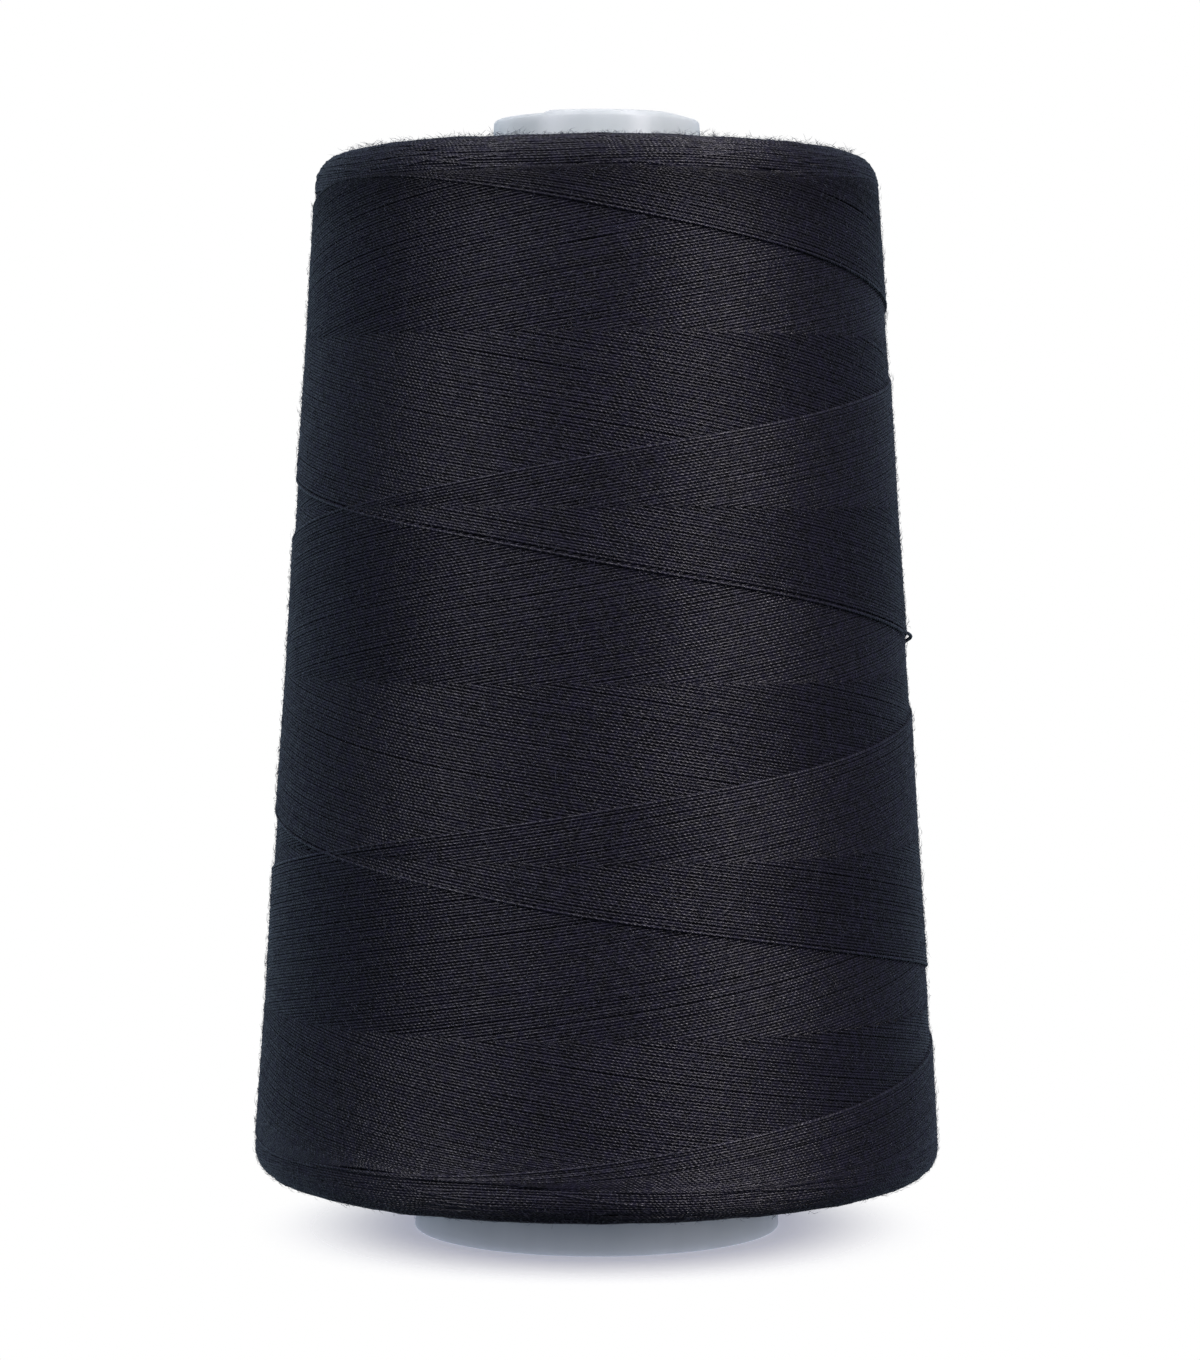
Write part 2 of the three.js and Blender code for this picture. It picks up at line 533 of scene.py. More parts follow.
@dataclass(frozen=True)
class SpunThread:
    """Two-ply spun polyester sewing thread, dyed near black.

    Its short fibres scatter light softly, so it has a dull sheen. The two plies twist round
    each other and leave a row of slanting ridges, which glint along each strand.
    """

    name: str = "spun_polyester_thread"
    dark: str = "0a0912"
    light: str = "14131f"
    glint: str = "211f33"
    roughness: float = 0.8
    gleam: float = 0.1  # of the strand as a whole, which is nearly matt
    gloss_roughness: float = 0.38  # of the fibres that lie along the crests of the plies
    gloss_ior: float = 1.75  # drawn polyester bends light strongly
    nap: float = 0.04  # of the finest fuzz, which softens what is seen aslant
    nap_roughness: float = 0.45
    nap_colour: str = "aab8c6"
    ply_turn: float = 1.25  # length in which the plies go once round each other
    ply_wander: float = 1.4  # how far, in turns, the twist runs ahead or lags
    wander_length: float = 3.6  # length over which it does so
    ply_depth: float = 0.032  # depth of the groove between them
    fibre_share: float = 0.8  # how rough the fibres lie, as a share of that depth
    groove_shade: float = 0.68  # painted shade: how much darker the base colour is made in the groove between the plies
    flank_shade: float = 0.52  # painted shade: how much darker the base colour is made on a strand's flanks, where it meets others
    flank_width: float = 0.6  # how far in from its sides they reach
    patch: float = 0.45  # length of the small patches along a strand
    patch_shift: float = 97.0  # how far apart two strands take their patches from
    bright: Pair = (0.5, 0.75)  # from dark patches to light ones
    lying: Pair = (0.32, 0.70)  # from fibres on end to fibres that lie
    lying_gloss: Pair = (0.16, 1.15)  # how much gloss each of those has
    mottle: float = 1.3  # width of the wider patches, where fuzz hides the strands
    fuzzy: Pair = (0.40, 0.66)  # from bare thread to full fuzz
    fuzz_light: float = 0.6  # how much lighter fuzz makes a patch
    fuzz_groove: float = 0.35  # how much of the groove's painted shade shows through fuzz
    fuzz_flank: float = 0.5  # how much of the flanks' painted shade
    fuzz_gloss: float = 0.45  # how much of the gloss

    def ridges(self, add: Adder, length: NodeSocket, way: NodeSocket, where: NodeSocket) -> Node:
        """Makes the slanting ridges of the plies.

        Args:
            add: Adds a node to the tree.
            length: The length along the strand.
            way: The way round it, from 0 to 1.
            where: The place in space. Neighbours were pulled alike, so their twists lag alike.

        Returns:
            A node that gives 1 on the crest of a ply and 0 in the groove beside it.
        """
        lag = add("TexNoise", where, Scale=1 / (self.wander_length * MM), Detail=1.0)
        late = add("Math", lag, self.ply_wander, way, operation="MULTIPLY_ADD")
        turns = add("Math", length, self.ply_turn, operation="DIVIDE")
        slant = add("Math", turns, late, operation="SUBTRACT")
        phase = add("Math", slant, 2 * TURN, operation="MULTIPLY")
        return add("MapRange", add("Math", phase, operation="COSINE"), -1.0, 1.0)

    def material(self) -> Material:
        """Makes the material.

        Returns:
            The material.
        """
        material, add = new_material(self.name)
        length, way = add("SeparateXYZ", add("UVMap", uv_map="Thread")).outputs[:2]
        shade, painted_lighting = (add("Attribute", attribute_name=name).outputs["Fac"]
                        for name in ("shade", "painted_light"))
        where = add("TexCoord").outputs["Object"]
        ridge = self.ridges(add, length, way, where)
        turned = add("Math", way, TURN, operation="MULTIPLY")
        facing = add("Math", turned, operation="COSINE")

        strand = add("Math", shade, self.patch_shift, way, operation="MULTIPLY_ADD")
        fibres = add("TexNoise", add("CombineXYZ", length, strand), Scale=1 / self.patch, Detail=2.0,
                     Roughness=0.7, noise_dimensions="2D")
        height = add("Math", fibres, self.fibre_share, ridge, operation="MULTIPLY_ADD")
        bump = add("Bump", Strength=1.0, Distance=self.ply_depth * MM, Height=height)
        cover = add("TexNoise", where, Scale=1 / (self.mottle * MM), Detail=3.0, Roughness=0.65)
        fuzz = add("MapRange", cover, *self.fuzzy)

        dyed = add("Mix", shade, In_6=linear(self.dark), In_7=linear(self.light), data_type="RGBA")
        bright = add("MapRange", fibres, *self.bright)
        lit = add("Math", fuzz, self.fuzz_light, bright, operation="MULTIPLY_ADD")
        patchy = add("Mix", lit, In_6=dyed.outputs[2], In_7=linear(self.glint), data_type="RGBA")
        # Painted shade: the base colour is darkened in the grooves between the plies and on the flanks
        # where strands meet, and less so under fuzz.
        deepest = add("MapRange", fuzz, 0.0, 1.0, 1 - self.groove_shade,
                      1 - self.groove_shade * self.fuzz_groove)
        groove = add("MapRange", ridge, 0.0, 1.0, deepest, 1.0)
        edge = add("MapRange", fuzz, 0.0, 1.0, 1 - self.flank_shade,
                   1 - self.flank_shade * self.fuzz_flank)
        flank = add("MapRange", facing, 0.0, self.flank_width, edge, 1.0)
        crease_shade = add("Math", groove, flank, operation="MULTIPLY")
        # Painted light and shade along each length, from its attribute: darker where it is covered or goes
        # under others, lighter on the newest strand.
        painted_light_and_shade = add("Math", crease_shade, painted_lighting, operation="MULTIPLY")
        colour = add("Mix", 1.0, In_6=patchy.outputs[2], In_7=painted_light_and_shade, data_type="RGBA",
                     blend_type="MULTIPLY")

        laid = add("MapRange", fibres, *self.lying, *self.lying_gloss)
        dulled = add("MapRange", fuzz, 0.0, 1.0, 1.0, self.fuzz_gloss)
        even = add("Math", laid, dulled, operation="MULTIPLY")
        gloss = add("Math", painted_light_and_shade, even, operation="MULTIPLY")
        shader = add("BsdfPrincipled", colour.outputs[2], Roughness=self.roughness,
                     Specular_IOR_Level=self.gleam, Normal=bump, Coat_Weight=gloss,
                     Coat_Roughness=self.gloss_roughness, Coat_IOR=self.gloss_ior, Coat_Normal=bump,
                     Sheen_Weight=self.nap, Sheen_Roughness=self.nap_roughness,
                     Sheen_Tint=linear(self.nap_colour))
        add("OutputMaterial", shader)
        return material


@dataclass(frozen=True)
class PackedThread:
    """The turns under the ones in sight, packed so close that little light leaves them; their colour is
    painted darker, as shade.
    """

    name: str = "packed_thread"
    # painted shade: darker than the thread in sight, for the gaps deep between the strands
    dark: str = "08090b"
    light: str = "0d0e11"
    patches: float = 0.9  # lighter and darker ones in each millimetre
    roughness: float = 0.9
    ior: float = 1.5
    gleam: float = 0.2
    clearness: float = 0.0  # how much light from behind comes through

    def material(self) -> Material:
        """Makes the material.

        Returns:
            The material.
        """
        material, add = new_material(self.name)
        tint = add("TexNoise", add("TexCoord").outputs["Object"], Scale=self.patches / MM)
        colour = add("Mix", tint, In_6=linear(self.dark), In_7=linear(self.light), data_type="RGBA")
        shader = add("BsdfPrincipled", colour.outputs[2], Roughness=self.roughness, IOR=self.ior,
                     Specular_IOR_Level=self.gleam, Transmission_Weight=self.clearness)
        add("OutputMaterial", shader)
        return material


@dataclass(frozen=True)
class FibreEnd(PackedThread):
    """Loose fibre ends, the same dyed polyester but so thin that they catch more light."""

    name: str = "loose_fibre"
    dark: str = "252a3a"
    light: str = "565e7a"
    patches: float = 0.4
    roughness: float = 0.55
    ior: float = 1.6
    gleam: float = 0.25
    clearness: float = 0.7


@dataclass(frozen=True)
class MilkyPlastic:
    """Natural polypropylene, injection moulded: satin, cloudy, and pale where light gets through."""

    name: str = "milky_polypropylene"
    colour: str = "cad2d1"
    streak: str = "bfc7c6"
    roughness: Pair = (0.29, 0.42)  # of the mould's finest grain
    grain: float = 0.4  # width of that grain
    grain_depth: float = 0.02
    grain_strength: float = 0.25
    ior: float = 1.49
    scatter: float = 0.9  # share of the light that goes into the plastic
    depth: float = 5.0  # how far it spreads there
    spread: Triple = (1.0, 1.0, 1.05)  # blue goes a little farther
    streak_width: float = 3.0  # width of the faint flow marks
    streak_stretch: float = 0.08  # their width as a share of their length

    def material(self) -> Material:
        """Makes the material.

        Returns:
            The material.
        """
        material, add = new_material(self.name)
        where = add("TexCoord").outputs["Object"]
        drawn = add("Mapping", where, Scale=(1.0, 1.0, self.streak_stretch))
        flow = add("TexNoise", drawn, Scale=1 / (self.streak_width * MM), Detail=3.0)
        colour = add("Mix", flow, In_6=linear(self.colour), In_7=linear(self.streak), data_type="RGBA")
        grain = add("TexNoise", where, Scale=1 / (self.grain * MM), Detail=2.0)
        bump = add("Bump", Strength=self.grain_strength, Distance=self.grain_depth * MM, Height=grain)
        shader = add("BsdfPrincipled", colour.outputs[2],
                     Roughness=add("MapRange", grain, 0.0, 1.0, *self.roughness), IOR=self.ior,
                     Subsurface_Weight=self.scatter, Subsurface_Radius=self.spread,
                     Subsurface_Scale=self.depth * MM, Normal=bump)
        add("OutputMaterial", shader)
        return material


@dataclass(frozen=True)
class WhitePaper:
    """Matt white paper, lit a little from below, that fades out towards its rim."""

    name: str = "white_paper"
    colour: str = "f8f8f8"
    roughness: float = 0.8
    glow: float = 0.30  # light through it, as from a lit table
    glow_colour: Colour = (0.76, 0.78, 1.0, 1.0)
    fade: Pair = (0.019, 0.04704)  # metres from the middle where it starts to fade and is gone

    def material(self) -> Material:
        """Makes the material.

        Returns:
            The material.
        """
        material, add = new_material(self.name)
        far = add("VectorMath", add("TexCoord").outputs["Object"], operation="LENGTH")
        fade = add("MapRange", far.outputs["Value"], *self.fade, interpolation_type="SMOOTHSTEP")
        paper = add("BsdfPrincipled", linear(self.colour), Roughness=self.roughness,
                    Emission_Color=self.glow_colour, Emission_Strength=self.glow)
        add("OutputMaterial", add("MixShader", fade, paper, add("BsdfTransparent")))
        return material


# ---- The pieces ----


def spun(section: list[Pair], steps: int) -> bmesh.types.BMesh:
    """Spins a closed section once round the upright axis.

    Args:
        section: Radius and height of each corner, in millimetres.
        steps: How many facets it gets.

    Returns:
        The spun form, in metres, with its faces pointing out.
    """
    form = bmesh.new()
    ring = [form.verts.new((0.0, -r * MM, z * MM)) for r, z in section]
    edges = [form.edges.new((ring[i], ring[(i + 1) % len(ring)])) for i in range(len(ring))]
    bmesh.ops.spin(form, geom=ring + edges, cent=(0, 0, 0), axis=(0, 0, 1), angle=TURN,
                   steps=steps, use_merge=True)
    bmesh.ops.recalc_face_normals(form, faces=form.faces)
    # Spinning leaves the faces in an order that changes from run to run, so they are sorted.
    form.verts.index_update()
    form.faces.sort(key=lambda face: face.verts[0].index * len(form.verts) + face.verts[1].index)
    return form


@dataclass
class PlasticCore:
    """The moulded core, with the soft edges of its nose and the low lip on its rim."""

    form: CoreForm
    nose_rounding: float = 0.5
    base_rounding: float = 0.25
    bend_steps: int = 6  # facets round each of those edges
    outer_rows: tuple[float, ...] = (4.0, 8.0, 60.0, 120.0, 138.0)
    bore_rows: tuple[float, ...] = (120.0, 60.0, 8.0)
    facets: int = 160
    lip_height: float = 0.32
    lip_from: float = -31.0  # degrees from the front
    lip_to: float = 62.0
    lip_start: float = 3.0  # degrees over which it rises at its left end
    lip_fade: float = 22.0  # degrees over which it fades out at its right end
    lip_foot: float = 50.0  # how far round the nose's rounding its foot lies, in degrees

    def section(self) -> list[Pair]:
        """Gives the wall's outline.

        Returns:
            Radius and height of each corner: outside up, over the nose and down the bore.
        """
        core, nose, edge = self.form, self.nose_rounding, self.base_rounding
        top = core.length - nose
        outer = core.radius(top)
        inner = outer - core.wall
        bend = [math.radians(step * 90 / self.bend_steps) for step in range(self.bend_steps + 1)]
        foot = [(core.base_radius - edge * (1 - math.cos(a)), edge * (1 - math.sin(a)))
                for a in reversed(bend)]
        sides = [(core.radius(z), z) for z in self.outer_rows]
        nose_out = [(outer - nose + nose * math.cos(a), top + nose * math.sin(a)) for a in bend]
        nose_in = [(inner + nose - nose * math.cos(a), top + nose * math.sin(a)) for a in reversed(bend)]
        bore = [(core.radius(z) - core.wall, z) for z in self.bore_rows]
        return foot + sides + nose_out + nose_in + bore + [(core.base_radius - core.wall, 0.0)]

    def raise_lip(self, form: bmesh.types.BMesh) -> None:
        """Raises the lip, a low bead along the rim's crest that fades out at both ends.

        Args:
            form: The spun core.
        """
        foot = self.form.length - self.nose_rounding * (1 - math.sin(math.radians(self.lip_foot)))
        for vert in form.verts:
            if vert.co.z > foot * MM:
                angle = math.degrees(math.atan2(vert.co.x, -vert.co.y))
                rising = (angle - self.lip_from) / self.lip_start
                falling = (self.lip_to - angle) / self.lip_fade
                vert.co.z += self.lip_height * MM * min(max(min(rising, falling), 0.0), 1.0)

    def build(self, finish: MilkyPlastic) -> Object:
        """Makes the core.

        Args:
            finish: The plastic.

        Returns:
            The finished piece.
        """
        form = spun(self.section(), self.facets)
        self.raise_lip(form)
        return shown(smooth_mesh("plastic_core", form), finish.material())


@dataclass
class PackedTurns:
    """The thread under the turns in sight, as one closed body with their terraces."""

    form: PackageForm
    lay: Lay
    facets: int = 144
    row: float = 1.2  # height from one row of faces to the next
    bend_steps: int = 4  # rows round each shoulder
    sink: float = 0.34  # how far it lies under the mean side
    bare: float = 2.0  # how near the core it has no terraces

    def section(self) -> list[Pair]:
        """Gives the body's outline.

        Returns:
            Radius and height of each corner, from the core at the low end to it at the high one.
        """
        form, low, high = self.form, self.form.low, self.form.high
        bend = np.arange(1, self.bend_steps + 1) / self.bend_steps
        climbs = np.concatenate([
            [low.z - low.length - form.face_width(low)], low.z - low.length * bend[::-1],
            np.arange(low.z, high.z, self.row), [high.z],
            high.z + high.length * bend, [high.z + high.length + form.face_width(high)]])
        radius, z = form.place(climbs, np.full(len(climbs), -self.sink))
        for end in (0, -1):
            radius[end] = form.core.radius(z[end]) + form.seat_gap
        return list(zip(radius.tolist(), z.tolist()))

    def build(self, finish: PackedThread) -> Object:
        """Makes the body.

        Args:
            finish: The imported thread.

        Returns:
            The finished piece.
        """
        form = self.form
        body = spun(self.section(), self.facets)
        for vert in body.verts:
            height = vert.co.z / MM
            out = math.hypot(vert.co.x, vert.co.y)
            on_side = form.low.z < height < form.high.z
            if on_side and out > (form.core.radius(height) + self.bare) * MM:
                turn = math.atan2(vert.co.x, -vert.co.y) / TURN
                rise = self.lay.rise(self.lay.visible_age(turn, height)) * MM
                vert.co.x *= 1 + rise / out
                vert.co.y *= 1 + rise / out
        return shown(smooth_mesh("packed_turns", body), finish.material())


@dataclass(frozen=True)
class Parting:
    """A place where two neighbouring strands stand apart and show a dark line."""

    family: Family
    age: float
    turn: float
    reach: float  # half its length, in turns
    width: float  # how far the strands are pushed apart


WIDEST_PARTINGS = (
    Parting(Family.RISING, 0.39, 1.996, 0.022, 0.17),
    Parting(Family.FALLING, 0.197, -0.822, 0.040, 0.17),
    Parting(Family.FALLING, 0.331, 0.906, 0.085, 0.12),
    Parting(Family.FALLING, 0.530, -0.040, 0.048, 0.13),
)


@dataclass
class SideTurns:
    """The strands in sight on the side, each where its family and its age put it."""

    form: PackageForm
    lay: Lay
    back: TurnBack
    rng: np.random.Generator
    thread_radius: float = 0.188
    thickness: Pair = (0.96, 1.04)  # thinnest and thickest, as shares of it
    shades: Pair = (0.45, 0.2)  # how light the strands are: mean and spread
    step: float = 2.6  # length from one point of a strand to the next
    newest_parts: int = 3  # how many times finer the newest strand is
    sunk: float = 0.06  # how far a strand's centre lies under the mean side
    unevenness: float = 0.018  # spread of that depth
    overlap: float = 0.5  # length that stays in sight past the crossing
    tuck: float = 1.9  # length past the crossing to the end under the covering turns
    tuck_depth: float = 0.30
    wander: float = 0.03  # how far each strand strays, in the waves that follow
    wander_waves: tuple[Pair, ...] = ((3, 0.5), (7, 0.3), (17, 0.2))
    drift: float = 0.10  # how far neighbours stray together
    drift_waves: Waves = ((2, 61.0, 1.0), (5, -37.0, 0.6))  # up the middle number they shift by a turn
    newest_gap: Pair = (0.24, 0.05)  # of the falling and the rising one
    newest_lift: Pair = (0.04, 0.035)
    newest_shade: float = 0.6
    newest_light: float = 1.15  # painted light: its colour and gloss are raised, for a proud strand that lies bare of fuzz
    gap_share: float = 0.4  # how much of its gap is left far from the front
    gap_reach: float = 0.45  # turns from the front over which the gap narrows
    bank: float = 0.20  # how far under it the strand that bears it lies
    crossing_light: float = 0.8  # painted shade: how bright a strand's colour and gloss stay where it goes under others
    top_light: float = 0.5  # how bright the strands' colour and gloss stay at the high shoulder; they are painted darker there
    top_reach: float = 7.0  # height over which they darken towards it
    loop_turn: float = 0.232  # where the newest falling strand stands off in a loop
    loop_reach: float = 0.021  # half the loop's length, in turns
    loop_lift: float = 0.65
    loop_bow: float = 1.5  # how softly the loop leaves the side
    parting_count: int = 26  # besides the widest; below, the ranges of their last four measures
    parting_ranges: tuple[Pair, ...] = ((0.02, 0.95), (-3, 4), (0.015, 0.05), (0.03, 0.10))
    pushed_strands: int = 6  # how many on each side of a parting give way
    push_fade: float = 2.5  # strands over which they do so less and less
    ply_step: float = 0.37  # how far the ply ridges shift from one strand to the next
    ply_slip: float = 0.06

    def partings(self, family: Family) -> list[Parting]:
        """Lists the places where strands stand apart.

        Args:
            family: The family of the strands.

        Returns:
            The widest ones and the drawn ones.
        """
        found = [gap for gap in WIDEST_PARTINGS if gap.family is family]
        for _ in range(self.parting_count):
            found.append(Parting(family, *[self.rng.uniform(*ends) for ends in self.parting_ranges]))
        return found

    def pushed(self, partings: list[Parting], age: float, turn: Array) -> Array:
        """Gives how far a strand is pushed aside along its length.

        Args:
            partings: The places where strands stand apart.
            age: The strand's age.
            turn: Its angles, in turns.

        Returns:
            The push, towards the older strands.
        """
        push = np.zeros(len(turn))
        for gap in partings:
            steps = (age - gap.age) * self.lay.strands
            if abs(steps) <= self.pushed_strands:
                side = 0.5 if steps > 0 else -0.5
                near = hump(turn, gap.turn, gap.reach)
                push += side * gap.width * near * math.exp(-abs(steps) / self.push_fade)
        return push

    def path(self, family: Family, index: int, z: Array, partings: list[Parting],
             sunk: float) -> tuple[Array, Array]:
        """Works out one length of a strand.

        Args:
            family: The strand's family.
            index: Its place in the family, 0 for the newest.
            z: Heights along it, before the turn back is rounded. The first and the last are
                its tucked ends.
            partings: The family's partings.
            sunk: How far its centre lies under its place on the form.

        Returns:
            The centre line, and the angle at each of its points.
        """
        lay, rng = self.lay, self.rng
        age = index / lay.strands
        turn = lay.turn(family, age, z)
        offset = rng.normal(0, self.wander / 2) + self.pushed(partings, age, turn)
        if index == 0:
            narrow = self.gap_share + (1 - self.gap_share) * np.exp(-(turn / self.gap_reach) ** 2)
            offset = offset - self.newest_gap[family is Family.RISING] * narrow
        for waves, size in self.wander_waves:
            offset = offset + self.wander * size * np.sin(TURN * (waves * turn + rng.random()))
        offset = offset + self.drift * sum(
            size * np.sin(TURN * (waves * turn + family.fall * z / height))
            for waves, height, size in self.drift_waves)
        climb = self.back.climb(z, lay.levels(), *self.back.rounds(family, age)) + family.fall * offset
        lift = np.full(len(z), lay.rise(age) - sunk + rng.normal(0, self.unevenness))
        if index == 0:
            lift += self.newest_lift[family is Family.RISING]
            if family is Family.FALLING:
                lift += self.loop_lift * hump(turn, self.loop_turn, self.loop_reach) ** self.loop_bow
        lift[[0, -1]] -= self.tuck_depth
        return self.form.points(turn * TURN, climb, lift), turn * TURN

    def runs(self, family: Family) -> list[tuple[int, int, float, float, float]]:
        """Lists the lengths in sight.

        Args:
            family: The family of the strands.

        Returns:
            Index, band, start and end height, and how far it is sunk, for each length. The
            newest strand gets a second length, which lies under it and bears it.
        """
        found = []
        levels = self.lay.levels()
        for band in range(len(levels) - 1):
            start = levels[band + 1] if family is Family.FALLING else levels[band]
            for index in range(self.lay.strands):
                stop = start - family.fall * (1 - index / self.lay.strands) * self.lay.band
                found.append((index, band, start, stop, self.sunk))
                if index == 0:
                    found.append((index, band, start, stop, self.sunk + self.bank))
        return found

    def painted_light_along(self, index: int, z: Array) -> Array:
        """Gives the painted light and shade along one length of a strand.

        Args:
            index: Its place in the family, 0 for the newest.
            z: Heights along it.

        Returns:
            0 where it is covered, less at its crossings and near the high shoulder, up to 1 where
            others lie beside it, and more, painted lighter, where none does.
        """
        # Painted light and shade: darker at the crossings and near the high shoulder, lighter on the
        # newest strand, fully dark where covered.
        bare = np.full(len(z), 1.0 if index else self.newest_light)
        bare[[1, -2]] *= self.crossing_light
        near_top = np.clip(1 - (self.form.high.z - z) / self.top_reach, 0, 1)
        bare *= 1 - (1 - self.top_light) * near_top
        bare[[0, -1]] = 0.0
        return bare

    def build(self, family: Family, bands: range, name: str, material: Material) -> Object:
        """Makes the strands of one family in some of the bands.

        Args:
            family: The family.
            bands: The bands between crossing levels that it covers.
            name: The piece's name.
            material: The thread.

        Returns:
            The finished piece.
        """
        batch = StrandBatch(name)
        rng = self.rng
        partings = self.partings(family)
        shift = family.fall * np.cumsum(rng.normal(self.ply_step, self.ply_slip, self.lay.strands))
        for index, band, start, stop, sunk in self.runs(family):
            if band not in bands:
                continue
            mean_radius = self.form.side_radius(start)
            per_height = TURN * mean_radius / self.lay.lead
            way = -family.fall / per_height
            step = self.step if index else self.step / self.newest_parts
            count = max(2, round(abs(stop - start) * per_height / step) + 1)
            shown_z = np.linspace(start - self.overlap * way, stop + self.overlap * way, count)
            z = np.concatenate([[start - self.tuck * way], shown_z, [stop + self.tuck * way]])
            path, angle = self.path(family, index, z, partings, sunk)
            outward = np.stack([np.sin(angle), -np.cos(angle), np.full(len(z), self.form.lean)], axis=1)
            radius = self.thread_radius * rng.uniform(*self.thickness)
            drawn = float(np.clip(rng.normal(*self.shades), 0, 1))
            batch.add(path, outward, radius, mean_radius * angle[0] + shift[index],
                      drawn if index else self.newest_shade, self.painted_light_along(index, z))
        return shown(batch.mesh(), material)


@dataclass
class EndTurns:
    """The turn-backs of older layers, which make each shoulder and end face.

    Rings that sway together lie side by side, and a few arcs cross over them.
    """

    form: PackageForm
    rng: np.random.Generator
    thread_radius: float = 0.190
    thickness: Pair = (0.95, 1.05)  # thinnest and thickest, as shares of it
    shades: Pair = (0.5, 0.25)  # how light the turns are: mean and spread
    longest_start: float = 100.0  # the ply ridges start anywhere in this length
    spacing: float = 0.335  # from one ring to the next
    step: float = 2.8  # length from one point to the next
    sunk: float = 0.08  # how far a ring's centre lies under the form
    unevenness: float = 0.02  # spread of that depth
    first_ring: float = -1.2  # distance past the end of the side, so it lies on the side
    core_gap: float = 0.3  # what the last ring keeps clear of the core
    lap: float = 0.04  # how far a ring's ends overlap, in radians
    ring_tuck: float = 0.25  # how far its ends go under
    sway: float = 0.5  # how far rings sway together, in the waves that follow
    sway_waves: Waves = ((3, 0.05, 1.0), (7, -0.06, 0.7))
    ripple_waves: Waves = ((19, 2.4, 0.02),)  # in which each ring sways alone
    swell_waves: Waves = ((9, 1.0, 0.03), (23, 2.0, 0.04), (41, 0.5, 0.04))  # out and in
    arcs: int = 340
    first_arc: float = -0.5  # distance of the outermost past the end of the side
    arc_gap: float = 1.0  # what arcs keep clear of the last ring
    shortest: float = 8.0
    longest: float = 24.0
    fewest_points: int = 6
    slope: float = 0.07  # spread of how steeply the arcs cross the rings
    over: float = 0.08  # how far the arcs stand off the rings
    arc_bow: float = 0.3  # how far an arc's ends bend back to the side
    arc_tuck: float = 0.3  # how far they go under the rings
    arc_edge: float = 5.0  # how near its ends it does so
    end_light: float = 0.4  # painted shade: how bright a length's colour and gloss stay where its end goes under

    def girth(self, climb: float) -> float:
        """Gives the form's radius at a climb."""
        return float(self.form.place(np.array([climb]), np.zeros(1))[0][0])

    def ring(self, batch: StrandBatch, middle: float, up: float, row: int) -> None:
        """Adds one ring, whose ends overlap.

        Args:
            batch: What it is added to.
            middle: Its mean climb.
            up: 1 at the high end, -1 at the low end.
            row: Its place among the rings.
        """
        count = round(TURN * self.girth(middle) / self.step)
        begin = self.rng.uniform(0, TURN)
        angle = np.linspace(begin, begin + TURN + self.lap, count)
        slow, ripple = wavy(self.sway_waves, angle, row), wavy(self.ripple_waves, angle, row)
        climb = middle + up * (self.sway * slow / 2 + ripple)
        lift = np.full(count, -self.sunk + self.rng.normal(0, self.unevenness))
        lift[[0, -1]] -= self.ring_tuck
        self.lay(batch, angle, climb, lift)

    def arc(self, batch: StrandBatch, middle: float, up: float) -> None:
        """Adds one arc that crosses the rings at a small angle.

        Args:
            batch: What it is added to.
            middle: The climb at its middle.
            up: 1 at the high end, -1 at the low end.
        """
        half = self.rng.uniform(self.shortest, self.longest) / 2
        across = np.linspace(-1, 1, max(self.fewest_points, round(2 * half / self.step)))
        angle = self.rng.uniform(0, TURN) + half / self.girth(middle) * across
        slant = half * self.rng.normal(0, self.slope)
        climb = middle + slant * across - up * self.arc_bow * across ** 2
        fall = (self.over + self.arc_tuck) * np.abs(across) ** self.arc_edge
        self.lay(batch, angle, climb, -self.sunk + self.over - fall)

    def lay(self, batch: StrandBatch, angle: Array, climb: Array, lift: Array) -> None:
        """Adds a length of thread that follows the form, and swells and sinks with the others.

        Args:
            batch: What it is added to.
            angle: Its angles round the package.
            climb: Its places along the form.
            lift: How far it stands off.
        """
        lift = lift + wavy(self.swell_waves, angle)
        path = self.form.points(angle, climb, lift)
        outward = self.form.points(angle, climb, lift + 1.0) - path
        radius = self.thread_radius * self.rng.uniform(*self.thickness)
        shade = float(np.clip(self.rng.normal(*self.shades), 0, 1))
        # Painted shade at the ends, where they go under the other turns.
        painted_light = np.ones(len(angle))
        painted_light[[0, -1]] = self.end_light
        batch.add(path, outward, radius, self.rng.uniform(0, self.longest_start), shade, painted_light)

    def build(self, end: End, name: str, material: Material) -> Object:
        """Makes the turns of one end.

        Args:
            end: The end.
            name: The piece's name.
            material: The thread.

        Returns:
            The finished piece.
        """
        batch = StrandBatch(name)
        part = self.form.shoulder(end)
        reach = part.length + self.form.face_width(part) - self.sway - self.core_gap
        for row, down in enumerate(np.arange(self.first_ring, reach, self.spacing)):
            self.ring(batch, part.z + part.up * down, part.up, row)
        for _ in range(self.arcs):
            down = self.rng.uniform(self.first_arc, reach - self.arc_gap)
            self.arc(batch, part.z + part.up * down, part.up)
        return shown(batch.mesh(), material)


